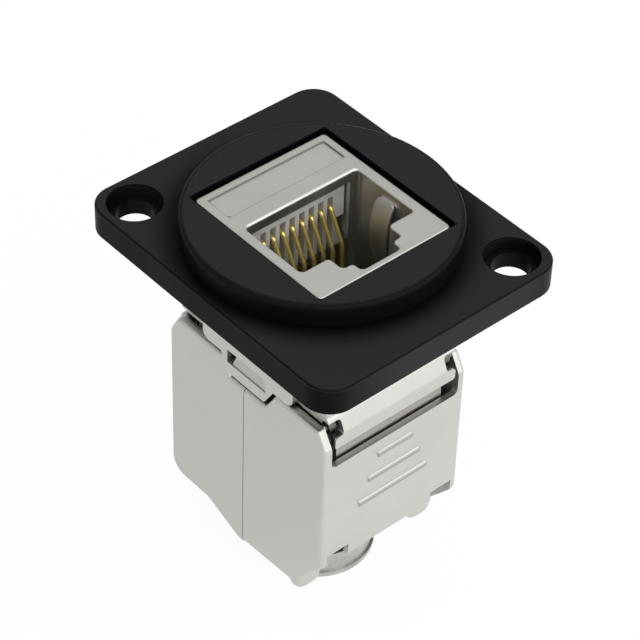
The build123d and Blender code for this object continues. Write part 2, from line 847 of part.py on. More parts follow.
def make_label_side_wing():
    """Cast wing on the label side: side walls, plain panel and pivots."""
    face = label_side_face
    tongue_z = tongue_bottom_z - wing_tongue_gap
    notch_low, notch_high = tongue_notch(label_wing_top_z)
    seam = seam_y + seam_gap / 2
    shell = side_prism(
        [
            (seam, tongue_z, 0),
            (notch_low, tongue_z, 0.1),
            (notch_high, label_wing_top_z, 0.3),
            (face - wing_chamfer_depth, label_wing_top_z, 0.4),
            (face, label_wing_top_z - wing_chamfer_height, 0.8),
            (face, label_wing_bottom_z, label_wing_corner_radius),
            (face / 2, label_wing_bottom_z, 1.5),
            (seam + 0.7, label_wing_tip_z, 0.5),
            (seam, label_wing_tip_z, 0),
        ],
        -body_half,
        body_half,
    )
    long_edges = shell.edges().filter_by(GeomType.LINE).filter_by(Axis.Z).group_by(Axis.Y)[-1]
    shell = fillet(long_edges, edge_radius)
    inner = body_half - wing_wall
    panel_top = panel_top_z - label_side_drop
    panel_bottom = label_wing_bottom_z + label_wing_corner_radius
    shell -= block(-inner, inner, seam - 1, face - panel_thickness, wing_top_z + 1, label_wing_tip_z - 1)
    shell -= panel_opening(1, panel_top)
    shell -= block(-inner, inner, seam - 1, face + 1, label_wing_tip_z - 1, panel_bottom)
    return shell + wing_pivots(1)


def make_shield_spring(side):
    """Bowed leaf spring on one inner wall of the socket."""
    wall_x = socket_width / 2
    middle_z = (spring_front_z + spring_rear_z) / 2
    line = ThreePointArc(
        (wall_x - spring_thickness, spring_front_z),
        (wall_x - spring_thickness - spring_bulge, middle_z),
        (wall_x - spring_thickness, spring_rear_z),
    )
    back = ThreePointArc(
        (wall_x, spring_rear_z), (wall_x - spring_bulge, middle_z), (wall_x, spring_front_z)
    )
    ends = Line(line @ 1, back @ 0) + Line(back @ 1, line @ 0)
    strip = extrude(
        Plane.XZ.offset(-spring_centre_y - spring_width / 2) * make_face(line + back + ends),
        amount=spring_width,
    )
    front_y = spring_centre_y - spring_width / 2
    back_y = spring_centre_y + spring_width / 2
    strip &= side_prism(
        [
            (front_y, spring_front_z, spring_corner_radius),
            (back_y, spring_front_z, spring_corner_radius),
            (back_y, spring_rear_z, spring_corner_radius),
            (front_y, spring_rear_z, spring_corner_radius),
        ],
        0,
        wall_x,
    )
    return strip if side > 0 else mirror(strip, Plane.YZ)


def make_keystone_latch():
    """Sprung latch arm on the label side, turning in its bore in the housing."""
    hook_top = -catch_roof - catch_clearance
    hook_bottom = catch_ledge - rear_ring_depth + 0.08
    outer = latch_y + latch_thickness / 2
    reach = opening_height / 2 + latch_hook_reach
    arm = side_prism(
        [
            (latch_y - latch_thickness / 2, hook_top, 0.1),
            (outer, hook_top, 0),
            (reach, hook_top - 0.9, 0),
            (reach, hook_bottom, 0.1),
            (outer, hook_bottom, 0.1),
            (outer, latch_root_z, 0),
            (latch_y - latch_thickness / 2, latch_root_z, 0),
        ],
        -latch_width / 2,
        latch_width / 2,
    )
    return arm + rod_x(-latch_width / 2, latch_width / 2, latch_y, latch_root_z, latch_root_radius)


def make_all():
    """Every piece by its name."""
    pieces = {
        "panel_flange": make_panel_flange(),
        "front_housing": make_front_housing(),
        "contact_carrier": make_contact_carrier(),
        "contact_comb": make_contact_comb(),
        "circuit_board": make_circuit_board(),
        "blade_block": make_blade_block(),
        "wire_cap": make_wire_cap(),
        "cable_collar": make_cable_collar(),
        "latch_side_wing": make_latch_side_wing(),
        "label_side_wing": make_label_side_wing(),
        "shield_spring_left": make_shield_spring(-1),
        "shield_spring_right": make_shield_spring(1),
        "keystone_latch": make_keystone_latch(),
    }
    for i, x in enumerate(contact_places()):
        pieces[f"contact_{i + 1}"] = make_contact(x, i % 2)
    for i, (x, y) in enumerate(blade_places()):
        pieces[f"wire_blade_{i + 1}"] = make_blade(x, y)
    return pieces


os.makedirs("parts", exist_ok=True)
for name, piece in make_all().items():
    piece.label = name
    export_step(piece, f"parts/{name}.step")
    print(name, round(piece.volume, 2), len(piece.solids()))
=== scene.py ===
"""The looks of a panel-mount shielded network jack.

A finish for each of its pieces, the floor, the daylight, a lamp and the camera.
"""

import math

import bpy
from bpy.props import FloatProperty, FloatVectorProperty, PointerProperty
from mathutils import Matrix, Vector


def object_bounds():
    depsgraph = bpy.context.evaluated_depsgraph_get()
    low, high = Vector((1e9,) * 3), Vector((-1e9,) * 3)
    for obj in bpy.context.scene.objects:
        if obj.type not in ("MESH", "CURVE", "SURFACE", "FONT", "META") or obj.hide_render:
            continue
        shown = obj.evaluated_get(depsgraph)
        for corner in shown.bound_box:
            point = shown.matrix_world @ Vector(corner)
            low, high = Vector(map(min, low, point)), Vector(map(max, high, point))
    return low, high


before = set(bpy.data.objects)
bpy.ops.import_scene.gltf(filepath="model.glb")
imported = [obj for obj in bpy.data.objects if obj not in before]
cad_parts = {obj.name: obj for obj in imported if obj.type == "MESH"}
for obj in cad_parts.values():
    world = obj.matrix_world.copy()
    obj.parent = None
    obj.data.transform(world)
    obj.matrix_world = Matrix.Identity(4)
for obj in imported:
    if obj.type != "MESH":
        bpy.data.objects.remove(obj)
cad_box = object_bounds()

bl_info = {
    "name": "Panel-mount network jack",
    "version": (1, 0, 0),
    "blender": (4, 5, 0),
    "location": "3D View > Sidebar > Jack",
    "description": "Finishes for the pieces of a panel-mount shielded network jack, with a studio stage",
    "category": "Object",
}

MM = 0.001
SENSOR_WIDTH_MM = 36.0

# Tones at the two ends of a change.
RISE = (0.0, 1.0)
FALL = (1.0, 0.0)

# Most of a noise lies between these values.
NOISE_LOW = 0.3
NOISE_HIGH = 0.7

# A face that sees this share of the sky, or more, gets none of the painted shade of corners and slots.
OPEN_SHARE = 0.5
SKY_SAMPLES = 16

# Places on the castings, in millimetres. A band has four: where it starts, is full, is last full and ends.
WING_PANEL = (7.6, 7.8, 9.5, 9.6)
# The notch and apron bands mark painted shade in the hinge notches and on the apron under the hinge bar.
NOTCH_ACROSS = (5.66, 5.74, 6.7, 6.9)
NOTCH_HEIGHT = (-11.2, -10.9, -8.3, -8.2)
APRON_HEIGHT = (-13.4, -13.2, -10.9, -10.7)
APRON_RISE = (-12.8, -10.9)
APRON_TONES = (0.10, 0.70)
APRON_ENDS = (5.9, 6.2)
RECESS_STRENGTH = 0.9
# Over this fade the raised lines take their painted shade.
RIDGE_FADE = (-0.08, 0.0)
# The label recess's painted shade line: its half width, its fade, and the fade below the label level.
OUTLINE_HALF = 0.04
OUTLINE_FADE = (0.04, 0.10)
LABEL_FADE = (0.0, 0.1)

# Places on the flange where shade and dark reflections are painted, in millimetres. A rim or an end is
# counted from the size that it belongs to.
WALL_HEIGHT = (3.6, 4.2)
WALL_TONES = (0.10, 0.20)
DISC_RIM = (-0.6, -0.2)
PLATE_TOP = (2.50, 2.52)
PLATE_EDGE = (2.28, 2.36, 2.46, 2.50)
EDGE_STRENGTH = 0.85
BELOW_EDGE = (2.20, 2.32)
SIDE_END = (-4.5, -0.5)
SIDE_END_TONES = (1.0, 0.15)
SCREW_RIM = (-0.06, 0.03)
SCREW_TONES = (0.22, 1.0)
OPENING_RIM = (0.03, 0.08)

# Size of the soft clouds in a plastic, in grains.
FLANGE_CLOUD = 40
MOULD_CLOUD = 12

# The copper tracks: how far they slant, and how far they wander, in millimetres.
TRACK_SLANT = 0.35
TRACK_WANDER = 1.2

# The floor's corners, and the direction over it towards its bright side.
FLOOR_SIDES = 96
BRIGHT_SIDE = (0.67, -0.74)

# The camera sees what lies between these distances, in metres.
CLIP_NEAR = 0.01
CLIP_FAR = 20.0


def colour(name, description, default):
    """A colour that a user can change."""
    return FloatVectorProperty(
        name=name, description=description, subtype="COLOR", size=3, min=0.0, max=1.0, default=default
    )


def share(name, description, default):
    """A number from 0 to 1 that a user can change."""
    return FloatProperty(
        name=name, description=description, subtype="FACTOR", min=0.0, max=1.0, default=default
    )


def length(name, description, default):
    """A length in metres that a user can change."""
    return FloatProperty(
        name=name, description=description, unit="LENGTH", min=0.0, precision=6, default=default
    )


def angle(name, description, degrees):
    """An angle that a user can change."""
    return FloatProperty(name=name, description=description, unit="ROTATION", default=math.radians(degrees))


class JackCastingFinish(bpy.types.PropertyGroup):
    """Satin nickel on the zinc castings."""

    nickel: colour("Nickel", "Colour of the plated skin", (0.645, 0.632, 0.598))
    shadow: colour("Thin plating", "Colour where the plating lies thin", (0.60, 0.587, 0.55))
    # Painted shade: the colour laid in deep corners, slots, the hinge notches and on the apron under the
    # hinge bar.
    painted_shade: colour("Painted shade", "Colour deep in corners and slots", (0.088, 0.085, 0.078))
    # The outline colour is a painted shade along the label recess's edge.
    outline: colour("Outline", "Colour of the label place's edge", (0.26, 0.25, 0.225))
    reach: length("Corner reach", "How far the tarnish spreads out of a corner", 0.0012)
    roughness: share("Roughness", "How dull the plated skin is", 0.38)
    skin_size: length("Skin size", "Width of the cast skin's fine dimples", 0.00016)
    skin_depth: length("Skin depth", "Depth of the fine dimples", 0.0000008)
    flow_size: length("Flow size", "Width of the soft waves from casting", 0.0045)
    # Painted shade: the raised lines get a darker nickel that tones down the lamp's highlights on them.
    painted_ridge_shade: colour("Ridges", "Colour on the wings' raised lines", (0.40, 0.392, 0.37))
    ridge_place: length("Ridge place", "How far the raised lines lie from the middle", 0.00984)
    label_half_width: length("Half label", "Half the width of the label place", 0.0061)
    label_half_height: length("Half label height", "Half the height of the label place", 0.00135)
    label_centre: length("Label centre", "How far the label place lies above the middle", 0.00555)
    label_level: length("Label level", "Height above which the label place is outlined", 0.0040)


class JackFlangeFinish(bpy.types.PropertyGroup):
    """Black moulded plastic of the panel flange."""

    black: colour("Black", "Colour of the plastic", (0.0270, 0.0258, 0.0258))
    # Deep black is painted shade at the disc's foot, on its wall, on the narrow sides and in recesses, and a
    # painted dark reflection along the plate's edges.
    deep: colour("Deep black", "Colour at the disc's foot, edges and recesses", (0.0022, 0.0022, 0.0023))
    foot_radius: length("Foot radius", "Radius of the disc's foot", 0.01146)
    foot_fade: length("Foot fade", "Width of the dark band round the disc's foot", 0.0027)
    side_place: length("Side", "How far the flange's dark narrow side lies from the middle", 0.0125)
    opening_half_width: length("Half opening", "Half the width of the jack's opening", 0.00715)
    opening_half_height: length("Half opening height", "Half the height of the jack's opening", 0.00795)
    screw_across: length("Screw across", "How far the screw holes lie from the middle along X", 0.0095)
    screw_along: length("Screw along", "How far the screw holes lie from the middle along Y", 0.0120)
    screw_reach: length("Screw recess", "Radius of the dark screw recesses", 0.00235)
    side_fade: length("Side fade", "Width over which the long side grows lighter", 0.0085)
    roughness: share("Roughness", "How dull the moulded skin is", 0.42)
    shine: share("Shine", "How strongly the plastic reflects", 0.06)
    grain_size: length("Grain size", "Width of the mould's fine grain", 0.00012)
    grain_depth: length("Grain depth", "Depth of the fine grain", 0.0000010)


class JackSpringFinish(bpy.types.PropertyGroup):
    """Rolled spring strip of the latch and the shield springs, and the turned collar."""

    steel: colour("Steel", "Colour of the rolled strip", (0.62, 0.615, 0.60))
    steel_roughness: share("Steel roughness", "How dull the strip is", 0.42)
    line_size: length("Rolling lines", "Distance between the rolling lines", 0.00009)
    line_depth: length("Line depth", "Depth of the rolling lines", 0.0000003)
    collar: colour("Collar", "Colour of the plated collar", (0.56, 0.55, 0.525))
    collar_roughness: share("Collar roughness", "How dull the collar is", 0.33)
    cloud_size: length("Cloud size", "Width of the collar's dull spots", 0.0016)
    turning_pitch: length("Turning pitch", "Distance between the collar's turning marks", 0.00008)
    turning_depth: length("Turning depth", "Depth of the turning marks", 0.0000003)


class JackPlasticFinish(bpy.types.PropertyGroup):
    """Plastics behind the socket: the grey carrier, the blade block and the smoke cap."""

    grey: colour("Carrier grey", "Colour of the contact carrier", (0.66, 0.65, 0.615))
    grey_roughness: share("Carrier roughness", "How dull the carrier is", 0.45)
    smoke: colour("Smoke", "Colour of the wire cap", (0.020, 0.021, 0.024))
    smoke_roughness: share("Smoke roughness", "How dull the wire cap is", 0.22)
    block: colour("Block", "Colour of the blade block", (0.03, 0.03, 0.032))
    grain_size: length("Grain size", "Width of the moulds' fine grain", 0.00020)
    grain_depth: length("Grain depth", "Depth of the fine grain", 0.0000010)


class JackContactFinish(bpy.types.PropertyGroup):
    """Gold wires, tinned blades and the board between them."""

    gold: colour("Gold", "Colour of the plated wires", (0.86, 0.68, 0.20))
    pale_gold: colour("Pale gold", "Colour where the plating is thin", (0.84, 0.72, 0.34))
    gold_metallic: share("Gold metallic", "How much the wires look like metal", 0.75)
    gold_roughness: share("Gold roughness", "How dull the wires are", 0.20)
    patch_size: length("Patch size", "Width of the spots where the plating is thin", 0.0006)
    wire_grain_size: length("Wire grain size", "Width of the wires' fine grain", 0.00012)
    wire_grain_depth: length("Wire grain depth", "Depth of the wires' fine grain", 0.0000008)
    tin: colour("Tin", "Colour of the blades", (0.60, 0.59, 0.56))
    tin_roughness: share("Tin roughness", "How dull the blades are", 0.32)
    stamp_size: length("Stamping lines", "Distance between the blades' stamping lines", 0.00007)
    stamp_depth: length("Stamping depth", "Depth of the stamping lines", 0.0000009)
    board: colour("Board", "Colour of the solder mask", (0.012, 0.030, 0.018))
    board_pale: colour("Board over copper", "Colour of the mask over copper", (0.022, 0.050, 0.028))
    board_roughness: share("Board roughness", "How dull the mask is", 0.29)
    board_coat: share("Board gloss", "Strength of the mask's clear gloss", 0.3)
    board_cloud: length("Board cloud", "Width of the soft clouds in the mask", 0.004)
    track_pitch: length("Track pitch", "Distance between the board's copper tracks", 0.0009)
    track_depth: length("Track depth", "Height of the mask over the tracks", 0.000004)


class JackStage(bpy.types.PropertyGroup):
    """Floor, daylight, lamp and camera."""

    floor_radius: length("Floor radius", "Radius of the pale floor", 1.2)
    floor_thickness: length("Floor thickness", "Thickness of the floor's slab", 0.01)
    floor_gap: length("Floor gap", "Height of the object above the floor", 0.00002)
    floor_tint: colour("Floor", "Colour of the floor", (0.93, 0.93, 0.93))
    floor_cloud: length("Floor cloud", "Width of the soft clouds in the floor", 0.05)
    floor_shine: share("Floor white", "Share of the floor that the eye and mirrors see as plain white", 0.94)
    floor_glow: FloatProperty(name="Floor glow", description="Strength of that plain white", default=1.016)
    floor_near: share("Bright side", "What mirrors see of the floor in front of the clip side", 1.0)
    floor_far: share("Dim side", "What mirrors see of the floor on the far side", 0.79)
    floor_turn: length("Floor turn", "Distance over which the floor's two sides blend", 0.02)
    daylight: FloatProperty(name="Daylight", description="Strength of the even light all round", default=0.45)
    sky_shine: share("Sky", "What mirrors see of the sky", 0.68)
    lamp_turn: angle("Lamp azimuth", "Where the softbox stands: 0 at -Y, 90 at +X", 8.0)
    lamp_rise: angle("Lamp elevation", "How high the softbox stands", 36.0)
    lamp_distance: length("Lamp distance", "From the object's middle to the softbox", 0.70)
    lamp_size: length("Lamp size", "Width and height of the softbox", 1.40)
    lamp_power: FloatProperty(name="Lamp power", description="Power of the softbox, in watts", default=6.4)
    camera_turn: angle("Camera azimuth", "Turn of the view direction from +Y towards +X", 42.306)
    camera_dip: angle("Camera elevation", "How far the camera looks down", 42.300)
    camera_roll: angle("Camera roll", "Turn of the picture", 2.048)
    camera_distance: length("Camera distance", "From the camera to the flange, along the view", 0.20533)
    camera_right: length("Camera right", "How far the origin lies right of the picture's middle", 0.0000739)
    camera_up: length("Camera up", "How far the origin lies above the picture's middle", 0.0053972)
    camera_lens: FloatProperty(name="Lens", description="Focal length", unit="CAMERA", default=143.78)


class Wire:
    """One output of a node, on which Python's operators add Math nodes."""

    def __init__(self, sheet, socket):
        self.sheet = sheet
        self.socket = socket

    def maths(self, operation, *values):
        """A Math node of these values."""
        return self.sheet.add("ShaderNodeMath", {"operation": operation}, dict(enumerate(values)))

    def __add__(self, other):
        return self.maths("ADD", self, other)

    __radd__ = __add__

    def __mul__(self, other):
        return self.maths("MULTIPLY", self, other)

    __rmul__ = __mul__

    def __sub__(self, other):
        return self.maths("SUBTRACT", self, other)

    def __rsub__(self, other):
        return self.maths("SUBTRACT", other, self)

    def __pow__(self, other):
        return self.maths("POWER", self, other)

    def smallest(self, other):
        """The smaller of two values."""
        return self.maths("MINIMUM", self, other)

    def largest(self, other):
        """The larger of two values."""
        return self.maths("MAXIMUM", self, other)

    def size(self):
        """The value without its sign."""
        return self.maths("ABSOLUTE", self)

    def stripes(self, pitch):
        """A sine wave from -1 to 1, of this pitch."""
        return self.maths("SINE", self * (2 * math.pi / pitch))

    def ramp(self, low, high, start=0.0, end=1.0):
        """Start below low, end above high, and a smooth change between them."""
        return self.sheet.add(
            "ShaderNodeMapRange",
            {"interpolation_type": "SMOOTHSTEP"},
            {"Value": self, "From Min": low, "From Max": high, "To Min": start, "To Max": end},
        )

    def slope(self, places, tones=RISE):
        """A smooth change of tone between two places in millimetres."""
        low, high = places
        return self.ramp(MM * low, MM * high, *tones)

    def band(self, places):
        """1 within a band and 0 outside it. Its four places are in millimetres."""
        return self.slope(places[:2]) * self.slope(places[2:], FALL)

    def around(self, middle, below, above):
        """A noise made a value that wanders from below its middle to above it."""
        return self.ramp(NOISE_LOW, NOISE_HIGH, middle - below, middle + above)


class Sheet:
    """The nodes of one material or world."""

    def __init__(self, owner):
        owner.use_nodes = True
        self.owner = owner
        self.tree = owner.node_tree
        self.tree.nodes.clear()

    def add(self, kind, settings=None, values=None, output=0):
        """One node: its settings first, then the values or wires of its sockets. Gives back one output."""
        node = self.tree.nodes.new(kind)
        for name, value in (settings or {}).items():
            setattr(node, name, value)
        for key, value in (values or {}).items():
            socket = node.inputs[key] if isinstance(key, int) else self.find(node.inputs, key)
            if isinstance(value, Wire):
                self.tree.links.new(value.socket, socket)
            elif socket.type == "RGBA":
                socket.default_value = (*value, 1.0)
            else:
                socket.default_value = value
        found = node.outputs[output] if isinstance(output, int) else self.find(node.outputs, output)
        return Wire(self, found)

    @staticmethod
    def find(sockets, name):
        """The socket in use that has this name."""
        return next(socket for socket in sockets if socket.enabled and socket.name == name)

    def noise(self, size, detail, roughness, stretch=(1.0, 1.0, 1.0)):
        """A cloudy value from 0 to 1 on the object's own coordinates, with spots about one size across."""
        spot = self.add("ShaderNodeTexCoord", output="Object")
        place = self.add("ShaderNodeMapping", {"vector_type": "POINT"}, {"Vector": spot, "Scale": stretch})
        return self.add(
            "ShaderNodeTexNoise",
            {"noise_dimensions": "3D"},
            {"Vector": place, "Scale": 1.0 / size, "Detail": detail, "Roughness": roughness},
        )

    def axes(self):
        """The object's own X, Y and Z, in metres."""
        spot = self.add("ShaderNodeTexCoord", output="Object")
        return [self.add("ShaderNodeSeparateXYZ", values={"Vector": spot}, output=i) for i in range(3)]

    def blend(self, factor, first, second):
        """A colour between two colours."""
        return self.add(
            "ShaderNodeMix", {"data_type": "RGBA"}, {"Factor": factor, "A": first, "B": second}, "Result"
        )

    def open_sky(self, distance):
        """1 on open faces, falling to 0 deep in corners and slots."""
        return self.add("ShaderNodeAmbientOcclusion", {"samples": SKY_SAMPLES}, {"Distance": distance}, "AO")

    def bump(self, height, depth):
        """A surface that rises with height, by depth in metres at 1."""
        return self.add("ShaderNodeBump", values={"Height": height, "Distance": depth, "Strength": 1.0})

    def surface(self, values):
        """The shader and the output of a material."""
        shader = self.add("ShaderNodeBsdfPrincipled", values=values)
        self.add_output("ShaderNodeOutputMaterial", shader)
        return self.owner

    def add_output(self, kind, shader):
        """The last node."""
        node = self.tree.nodes.new(kind)
        self.tree.links.new(shader.socket, node.inputs["Surface"])


def new_sheet(name):
    """An empty material's nodes."""
    return Sheet(bpy.data.materials.new(name))


def dress(material, names):
    """Gives CAD nodes one material."""
    for name in names:
        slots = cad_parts[name].data.materials
        slots.clear()
        slots.append(material)


def darker(tint, keep):
    """A colour that keeps this share of its brightness."""
    return tuple(keep * part for part in tint)


def distance(across, along):
    """How far a point lies from the middle, seen from the front."""
    return (across ** 2.0 + along ** 2.0) ** 0.5


def beyond(across, along, half_width, half_height):
    """How far a point lies outside a rectangle round the middle, below 0 within it."""
    return (across.size() - half_width).largest(along.size() - half_height)


def label_clear(look, across, along, height):
    """0 on the outline of the bare label place, where a painted shade line lies along the recess's edge, and
    1 elsewhere.
    """
    beside = beyond(across, along - look.label_centre, look.label_half_width, look.label_half_height)
    clear = (beside + MM * OUTLINE_HALF).size().slope(OUTLINE_FADE)
    return (clear + (height - look.label_level).slope(LABEL_FADE, FALL)).smallest(1.0)


def hinge_shade(across, along, height):
    """How dark the painted shade is in the hinge notches and on the apron under the hinge bar: 0 elsewhere.
    """
    side = across.size()
    notch = side.band(NOTCH_ACROSS) * height.band(NOTCH_HEIGHT)
    apron = height.slope(APRON_RISE, APRON_TONES) * height.band(APRON_HEIGHT) * side.slope(APRON_ENDS, FALL)
    return along.size().band(WING_PANEL) * notch.largest(apron) * RECESS_STRENGTH


def casting_material(look):
    """Satin nickel over zinc: soft casting waves, a fine dimpled skin and thin spots in the plating, with
    painted shade in corners, slots, the hinge notches and under the hinge bar, a painted shade line on the
    label recess's edge and darker raised lines.
    """
    sheet = new_sheet("satin_nickel_casting")
    across, along, height = sheet.axes()
    flow = sheet.noise(look.flow_size, detail=2.0, roughness=0.5)
    skin = sheet.noise(look.skin_size, detail=2.0, roughness=0.6)
    thin = flow.ramp(low=0.35, high=0.7, start=0.5, end=0.0)
    thin = thin + skin.ramp(NOISE_LOW, NOISE_HIGH, start=0.3, end=0.0)
    # Painted shade on the raised lines, where they stand proud of the wing.
    proud = (along + look.ridge_place).slope(RIDGE_FADE, FALL)
    plated = sheet.blend(proud, sheet.blend(thin, look.nickel, look.shadow), look.painted_ridge_shade)
    # Painted shade: a thin dark line along the label recess's edge.
    clean = sheet.blend(label_clear(look, across, along, height), look.outline, plated)
    # Painted shade: the sky share and the hinge bands pull corners, slots, the notches and the apron towards
    # the painted shade colour.
    bright = sheet.open_sky(look.reach).ramp(0.0, OPEN_SHARE) * (1.0 - hinge_shade(across, along, height))
    return sheet.surface({
        "Base Color": sheet.blend(bright, look.painted_shade, clean),
        "Metallic": 1.0,
        "Roughness": flow.around(look.roughness, below=0.04, above=0.05),
        "Normal": sheet.bump(skin, look.skin_depth),
    })


def flange_tone(look, across, along, height):
    """1 where the flange shows its plain black, falling to 0 where the painted shade and dark reflections are
    deepest.
    """
    # Painted shade: a darker band round the disc's foot, and a dark disc wall that lightens slightly towards
    # its top.
    past_foot = distance(across, along) - look.foot_radius
    plate = past_foot.ramp(0.0, look.foot_fade)
    disc = (height.slope(WALL_HEIGHT, WALL_TONES) + past_foot.slope(DISC_RIM, FALL)).smallest(1.0)
    face = plate.largest(disc * height.slope(PLATE_TOP))
    # Painted shade on the narrow sides: darkest at the -X end, lighter along the long sides, darker again at
    # the +X end.
    side = (across + look.side_place).ramp(0.0, look.side_fade)
    side = side * (across - look.side_place).slope(SIDE_END, SIDE_END_TONES)
    below = 1.0 - height.slope(BELOW_EDGE, FALL) * (1.0 - side)
    # Painted dark reflection: a thin deeper black along the plate's top edges.
    edge = 1.0 - height.band(PLATE_EDGE) * EDGE_STRENGTH
    # Painted shade in the screw recesses and in the jack's opening.
    left = distance(across + look.screw_across, along - look.screw_along)
    right = distance(across - look.screw_across, along + look.screw_along)
    screws = (left.smallest(right) - look.screw_reach).slope(SCREW_RIM, SCREW_TONES)
    opening = beyond(across, along, look.opening_half_width, look.opening_half_height).slope(OPENING_RIM)
    return face * below * edge * screws * opening


def flange_material(look):
    """Black moulded plastic with a fine grain, with painted shade in deeper black at the disc's foot, on its
    wall, on the narrow sides and in recesses, and a painted dark reflection on edges.
    """
    sheet = new_sheet("black_flange_plastic")
    grain = sheet.noise(look.grain_size, detail=2.0, roughness=0.65)
    cloud = sheet.noise(look.grain_size * FLANGE_CLOUD, detail=2.0, roughness=0.5)
    tone = flange_tone(look, *sheet.axes()) * grain.around(1.0, below=0.1, above=0.0)
    return sheet.surface({
        "Base Color": sheet.blend(tone, look.deep, look.black),
        "Roughness": cloud.around(look.roughness, below=0.03, above=0.04),
        "Specular IOR Level": look.shine,
        "Normal": sheet.bump(grain, look.grain_depth),
    })


def strip_material(look):
    """Rolled spring steel, with fine lines along the strip."""
    sheet = new_sheet("rolled_spring_steel")
    lines = sheet.noise(look.line_size, detail=2.0, roughness=0.6, stretch=(1.0, 1.0, 0.05))
    return sheet.surface({
        "Base Color": sheet.blend(lines.ramp(low=0.35, high=0.65), darker(look.steel, keep=0.94), look.steel),
        "Metallic": 1.0,
        "Roughness": lines.around(look.steel_roughness, below=0.03, above=0.04),
        "Normal": sheet.bump(lines, look.line_depth),
    })


def collar_material(look):
    """Bright plated collar with turning marks round it."""
    sheet = new_sheet("turned_collar")
    _, _, height = sheet.axes()
    marks = height.stripes(look.turning_pitch) * 0.5 + 0.5
    cloud = sheet.noise(look.cloud_size, detail=3.0, roughness=0.55)
    return sheet.surface({
        "Base Color": sheet.blend(cloud.ramp(low=0.4, high=0.7), look.collar, darker(look.collar, keep=0.84)),
        "Metallic": 1.0,
        "Roughness": cloud.around(look.collar_roughness, below=0.04, above=0.07),
        "Normal": sheet.bump(marks, look.turning_depth),
    })


def moulded_material(name, look, tint, roughness):
    """Moulded plastic with a fine grain and a slightly cloudy tone."""
    sheet = new_sheet(name)
    cloud = sheet.noise(look.grain_size * MOULD_CLOUD, detail=3.0, roughness=0.5)
    grain = sheet.noise(look.grain_size, detail=2.0, roughness=0.6)
    return sheet.surface({
        "Base Color": sheet.blend(cloud.ramp(low=0.35, high=0.65), darker(tint, keep=0.86), tint),
        "Roughness": cloud.around(roughness, below=0.03, above=0.05),
        "Normal": sheet.bump(grain, look.grain_depth),
    })


def gold_material(look):
    """Gold-plated wire: paler where the plating is thin."""
    sheet = new_sheet("gold_plated_wire")
    patches = sheet.noise(look.patch_size, detail=3.0, roughness=0.6)
    grain = sheet.noise(look.wire_grain_size, detail=2.0, roughness=0.6)
    return sheet.surface({
        "Base Color": sheet.blend(patches.ramp(low=0.45, high=0.7), look.gold, look.pale_gold),
        "Metallic": look.gold_metallic,
        "Roughness": patches.around(look.gold_roughness, below=0.04, above=0.06),
        "Normal": sheet.bump(grain, look.wire_grain_depth),
    })


def tin_material(look):
    """Tinned bronze of the wire blades, with fine stamping lines."""
    sheet = new_sheet("tinned_blade")
    lines = sheet.noise(look.stamp_size, detail=2.0, roughness=0.6, stretch=(1.0, 1.0, 0.08))
    return sheet.surface({
        "Base Color": sheet.blend(lines.ramp(low=0.35, high=0.7), darker(look.tin, keep=0.8), look.tin),
        "Metallic": 1.0,
        "Roughness": lines.around(look.tin_roughness, below=0.05, above=0.05),
        "Normal": sheet.bump(lines, look.stamp_depth),
    })


def board_material(look):
    """Green solder mask, paler over the copper tracks beneath it."""
    sheet = new_sheet("green_solder_mask")
    across, along, _ = sheet.axes()
    cloud = sheet.noise(look.board_cloud, detail=1.0, roughness=0.5)
    track = (across + along * TRACK_SLANT + cloud * (MM * TRACK_WANDER)).stripes(look.track_pitch)
    return sheet.surface({
        "Base Color": sheet.blend(track.ramp(low=0.1, high=0.3), look.board, look.board_pale),
        "Roughness": cloud.around(look.board_roughness, below=0.05, above=0.05),
        "Coat Weight": look.board_coat,
        "Normal": sheet.bump(track.ramp(low=0.0, high=0.3), look.track_depth),
    })


def named(stem, count):
    """The names of a row of like pieces."""
    return [f"{stem}_{number}" for number in range(1, count + 1)]


class JACK_OT_castings(bpy.types.Operator):
    """Finishes the front housing and the two wings as plated castings"""

    bl_idname = "jack.castings"
    bl_label = "Castings"

    def execute(self, context):
        castings = ["front_housing", "latch_side_wing", "label_side_wing"]
        dress(casting_material(context.scene.jack_casting), castings)
        return {"FINISHED"}


class JACK_OT_flange(bpy.types.Operator):
    """Finishes the panel flange as black moulded plastic"""

    bl_idname = "jack.flange"
    bl_label = "Flange"

    def execute(self, context):
        dress(flange_material(context.scene.jack_flange), ["panel_flange"])
        return {"FINISHED"}


class JACK_OT_springs(bpy.types.Operator):
    """Finishes the latch, the shield springs and the cable collar"""

    bl_idname = "jack.springs"
    bl_label = "Springs and collar"

    def execute(self, context):
        look = context.scene.jack_spring
        dress(strip_material(look), ["keystone_latch", "shield_spring_left", "shield_spring_right"])
        dress(collar_material(look), ["cable_collar"])
        return {"FINISHED"}


class JACK_OT_plastics(bpy.types.Operator):
    """Finishes the grey contact carrier and comb, the blade block and the smoke wire cap"""

    bl_idname = "jack.plastics"
    bl_label = "Inner plastics"

    def execute(self, context):
        look = context.scene.jack_plastic
        dress(
            moulded_material("grey_carrier_plastic", look, look.grey, look.grey_roughness),
            ["contact_carrier", "contact_comb"],
        )
        dress(moulded_material("dark_block_plastic", look, look.block, look.grey_roughness), ["blade_block"])
        dress(moulded_material("smoke_cap_plastic", look, look.smoke, look.smoke_roughness), ["wire_cap"])
        return {"FINISHED"}


class JACK_OT_contacts(bpy.types.Operator):
    """Finishes the contact wires, the wire blades and the circuit board"""

    bl_idname = "jack.contacts"
    bl_label = "Contacts and board"

    def execute(self, context):
        look = context.scene.jack_contact
        dress(gold_material(look), named("contact", 8))
        dress(tin_material(look), named("wire_blade", 8))
        dress(board_material(look), ["circuit_board"])
        return {"FINISHED"}


